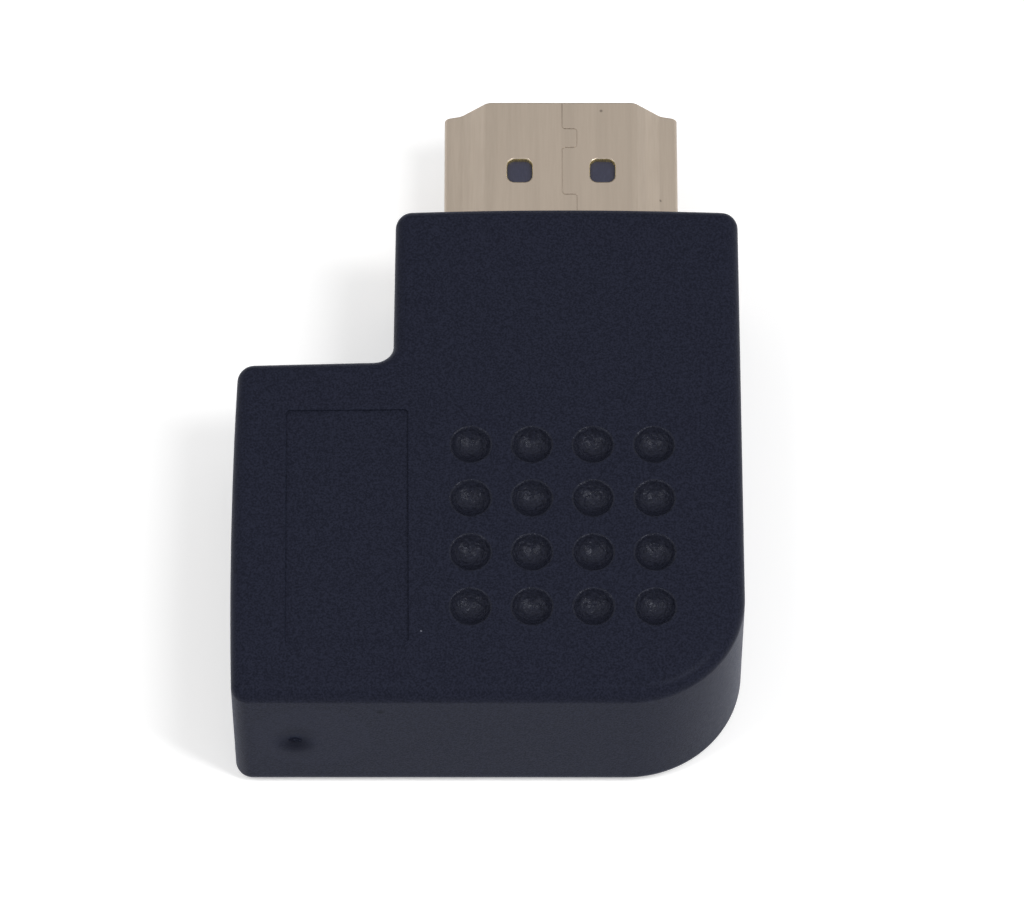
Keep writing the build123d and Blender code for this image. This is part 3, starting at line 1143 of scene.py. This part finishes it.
def lay_floor(stage):
    """Pale floor that is seen as white, also in reflections, and that keeps the object's shadow."""
    bpy.ops.object.select_all(action="DESELECT")
    bpy.ops.mesh.primitive_plane_add(size=4.0, location=(0, 0, body_low.z))
    floor = bpy.context.object
    floor.name = floor.data.name = "floor"
    material = bpy.data.materials.new("matt_white_card")
    tree = empty_tree(material)
    card = add_node(tree, "ShaderNodeBsdfDiffuse", {"Color": shade(stage.floor)})
    glow = add_node(tree, "ShaderNodeEmission", {"Strength": stage.lift})
    lifted = add_node(tree, "ShaderNodeAddShader", {0: card, 1: glow})
    surface = add_node(tree, "ShaderNodeMixShader", {"Fac": sees_background(tree), 1: card, 2: lifted})
    add_node(tree, "ShaderNodeOutputMaterial", {"Surface": surface})
    floor.data.materials.append(material)


def light_world(stage):
    """Even light from all round, in a room that is seen as white, also in reflections."""
    world = bpy.data.worlds.new("studio")
    bpy.context.scene.world = world
    tree = empty_tree(world)
    # A white wall stands behind the object; the ceiling and the dark end of the room are dimmer
    way = add_node(tree, "ShaderNodeTexCoord").outputs["Generated"]
    far = add_node(tree, "ShaderNodeSeparateXYZ", {"Vector": way}).outputs["Y"]
    rise, fall = [
        add_node(
            tree,
            "ShaderNodeMapRange",
            {"Value": far, "From Min": start, "From Max": end, "To Min": before, "To Max": after},
            interpolation_type="SMOOTHSTEP",
        )
        for start, end, before, after in ((-0.2, 0.3, 0.35, 1.0), (0.65, 0.95, 1.0, 0.2))
    ]
    wall = add_node(tree, "ShaderNodeMath", {0: rise, 1: fall}, operation="MULTIPLY")
    even, white, mirrored = [
        add_node(tree, "ShaderNodeBackground", {"Color": (1, 1, 1, 1), "Strength": level})
        for level in (stage.sky, 1.0, wall)
    ]
    glossy = add_node(tree, "ShaderNodeLightPath").outputs["Is Glossy Ray"]
    seen = add_node(tree, "ShaderNodeMixShader", {"Fac": glossy, 1: white, 2: mirrored})
    room = add_node(tree, "ShaderNodeMixShader", {"Fac": sees_background(tree), 1: even, 2: seen})
    add_node(tree, "ShaderNodeOutputWorld", {"Surface": room})


class ADAPTER_OT_stage(bpy.types.Operator):
    """Lay the floor, set the lights and stand the camera where the photograph was taken"""

    bl_idname = "adapter.stage"
    bl_label = "Stage"

    def execute(self, context):
        stage = context.scene.adapter_stage
        context.scene.view_settings.view_transform = "Standard"
        lay_floor(stage)
        light_world(stage)
        soft_box("right_softbox", stage, 1, stage.right_power)
        soft_box("left_softbox", stage, -1, stage.left_power)
        bpy.ops.object.camera_add(location=stage.camera_place)
        camera = context.object
        camera.name = camera.data.name = "camera"
        back = Vector(stage.camera_place) - Vector(stage.camera_aim)
        camera.rotation_euler = back.to_track_quat("Z", "Y").to_euler()
        camera.data.sensor_width = 36.0
        camera.data.lens = stage.lens
        camera.data.clip_start = 0.01
        context.scene.camera = camera
        return {"FINISHED"}


GROUPS = {
    "adapter_body": AdapterBodySizes,
    "adapter_shells": AdapterShellSizes,
    "adapter_finishes": AdapterFinishes,
    "adapter_stage": AdapterStage,
}
STEPS = (
    ADAPTER_OT_body,
    ADAPTER_OT_plug_shell,
    ADAPTER_OT_socket_shell,
    ADAPTER_OT_finishes,
    ADAPTER_OT_stage,
)


class ADAPTER_PT_panel(bpy.types.Panel):
    """Sizes, colours and steps of the adapter"""

    bl_idname = "ADAPTER_PT_panel"
    bl_label = "Right-angle adapter"
    bl_space_type = "VIEW_3D"
    bl_region_type = "UI"
    bl_category = "Adapter"

    def draw(self, context):
        for name, group in GROUPS.items():
            box = self.layout.box()
            values = getattr(context.scene, name)
            for key in group.__annotations__:
                box.prop(values, key)
        for step in STEPS:
            self.layout.operator(step.bl_idname)


def register():
    """Makes the groups, the operators and the panel known to Blender."""
    for part in (*GROUPS.values(), *STEPS, ADAPTER_PT_panel):
        bpy.utils.register_class(part)
    for name, group in GROUPS.items():
        setattr(bpy.types.Scene, name, bpy.props.PointerProperty(type=group))


def unregister():
    """Takes them away again."""
    for name in GROUPS:
        delattr(bpy.types.Scene, name)
    for part in reversed((*GROUPS.values(), *STEPS, ADAPTER_PT_panel)):
        bpy.utils.unregister_class(part)


def main():
    """Builds the whole model."""
    register()
    bpy.ops.adapter.body()
    bpy.ops.adapter.plug_shell()
    bpy.ops.adapter.socket_shell()
    bpy.ops.adapter.finishes()
    bpy.ops.adapter.stage()


if __name__ == "__main__":
    main()
